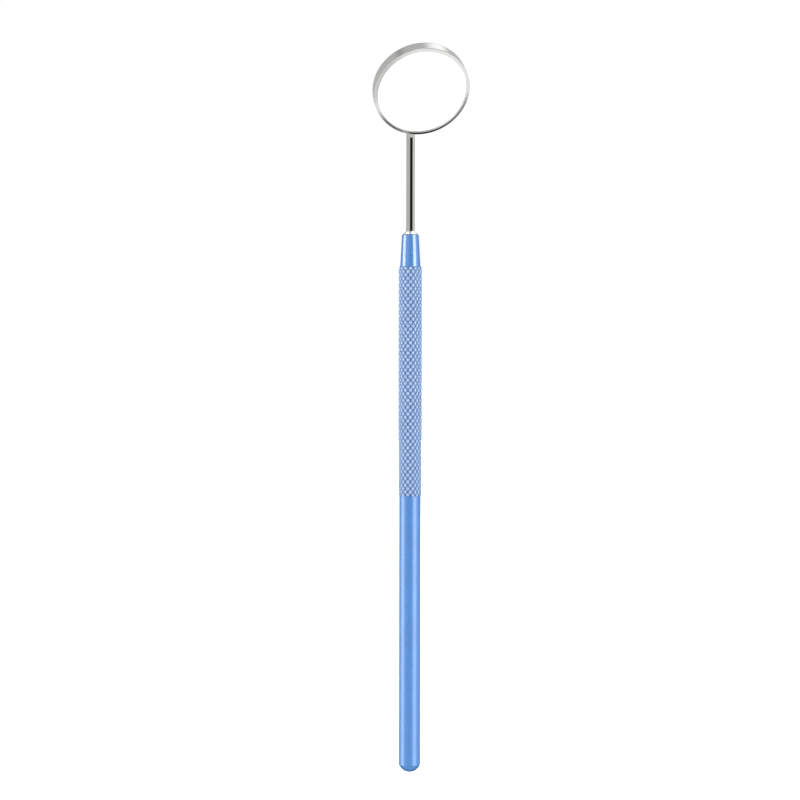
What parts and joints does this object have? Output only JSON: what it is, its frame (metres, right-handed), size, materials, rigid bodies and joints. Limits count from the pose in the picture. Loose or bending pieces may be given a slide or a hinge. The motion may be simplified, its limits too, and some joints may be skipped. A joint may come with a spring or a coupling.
{
  "type": "mouth mirror",
  "caption": "Small round mirror in a shallow metal cup, tilted on a bent stem that screws into a slim blue handle with a diamond-knurled grip and a round tail.",
  "frame": {"origin": "on the handle's axis, in the middle of the plain shank below the grip", "axes": "+Z along the handle towards the mirror; the mirror's face looks to -Y and downwards; +X is to the right seen from the face's side"},
  "size_m": [0.022, 0.02, 0.1659],
  "materials": {
    "handle_blue": "satin blue anodised",
    "turned_blue": "bright turned, blue anodised",
    "turned_steel": "turned",
    "polished_steel": "polished",
    "braze": "as brazed",
    "drawn_steel": "drawn and tumbled",
    "mirror_glass": "mirror coated",
    "pad": "matt",
    "cement": "matt"
  },
  "bodies": {
    "handle": {"handle_tube": "handle_blue", "handle_nose": "turned_blue", "tail_plug": "handle_blue"},
    "ferrule": {"threaded_ferrule": "turned_steel"},
    "mirror_head": {"stem": "polished_steel", "seat_braze": "braze", "mirror_cup": "drawn_steel", "mirror_glass": "mirror_glass", "backing_pad": "pad", "cement_ring": "cement"}
  },
  "joints": [
    {"name": "thread_travel", "type": "slide", "parent": "handle", "child": "ferrule", "axis": [0, 0, 1], "range_m": [0, 0.00428]},
    {"name": "stem_unscrew", "type": "hinge", "parent": "ferrule", "child": "mirror_head", "pos_m": [0, 0, 0.0913], "axis": [0, 0, 1], "range_deg": [0, 3420]}
  ],
  "couplings": [
    {"joint": "thread_travel", "follows": "stem_unscrew", "m_per_rad": 0.00007162}
  ]
}
